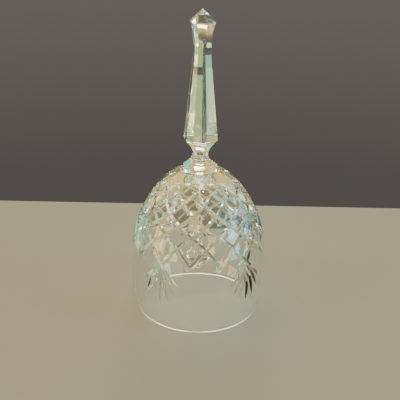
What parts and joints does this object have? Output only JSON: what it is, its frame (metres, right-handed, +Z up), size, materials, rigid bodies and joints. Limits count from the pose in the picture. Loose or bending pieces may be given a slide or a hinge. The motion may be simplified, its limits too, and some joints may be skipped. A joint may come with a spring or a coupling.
{
  "type": "glass bell",
  "caption": "Cut-crystal table bell: thick-crowned glass bowl with crossed mitre cuts, six-sided spire handle on a merese, and a glass bead clapper on a fine link chain.",
  "frame": {"origin": "centre of the rim's lower face, on the bell's axis", "axes": "+Z up the axis to the tip of the handle; +X to the viewer's right when the bell is seen from the front, -Y"},
  "size_m": [0.0826, 0.0826, 0.18],
  "materials": {
    "crystal": "clear polished cut crystal",
    "bead_crystal": "clear faceted crystal",
    "cement": "clear hardened cement",
    "plated_wire": "bright plated wire"
  },
  "bodies": {
    "bell": {"bell_bowl": "crystal", "merese_disc": "crystal", "handle_spire": "crystal", "crown_cement": "cement", "hanger_eye": "plated_wire"},
    "link_1": {"chain_link_1": "plated_wire"},
    "link_2": {"chain_link_2": "plated_wire"},
    "link_3": {"chain_link_3": "plated_wire"},
    "link_4": {"chain_link_4": "plated_wire"},
    "link_5": {"chain_link_5": "plated_wire"},
    "link_6": {"chain_link_6": "plated_wire"},
    "clapper": {"clapper_pin": "plated_wire", "upper_bead_cap": "plated_wire", "lower_bead_cap": "plated_wire"},
    "bead": {"clapper_bead": "bead_crystal"}
  },
  "joints": [
    {"name": "link_1_swing", "type": "hinge", "parent": "bell", "child": "link_1", "pos_m": [0, 0, 0.0759], "axis": [1, 0, 0], "range_deg": [-38, 38]},
    {"name": "link_2_swing", "type": "hinge", "parent": "link_1", "child": "link_2", "pos_m": [0, 0, 0.0706], "axis": [0, 1, 0], "range_deg": [-38, 38]},
    {"name": "link_3_swing", "type": "hinge", "parent": "link_2", "child": "link_3", "pos_m": [0, 0, 0.0653], "axis": [-1, 0, 0], "range_deg": [-45, 45]},
    {"name": "link_4_swing", "type": "hinge", "parent": "link_3", "child": "link_4", "pos_m": [0, 0, 0.06], "axis": [0, -1, 0], "range_deg": [-45, 45]},
    {"name": "link_5_swing", "type": "hinge", "parent": "link_4", "child": "link_5", "pos_m": [0, 0, 0.0547], "axis": [1, 0, 0], "range_deg": [-45, 45]},
    {"name": "link_6_swing", "type": "hinge", "parent": "link_5", "child": "link_6", "pos_m": [0, 0, 0.0494], "axis": [0, 1, 0], "range_deg": [-45, 45]},
    {"name": "clapper_swing", "type": "hinge", "parent": "link_6", "child": "clapper", "pos_m": [0, 0, 0.0441], "axis": [-1, 0, 0], "range_deg": [-45, 45]},
    {"name": "bead_spin", "type": "hinge", "parent": "clapper", "child": "bead", "pos_m": [0, 0, 0.0328], "axis": [0, 0, 1], "continuous": true}
  ]
}
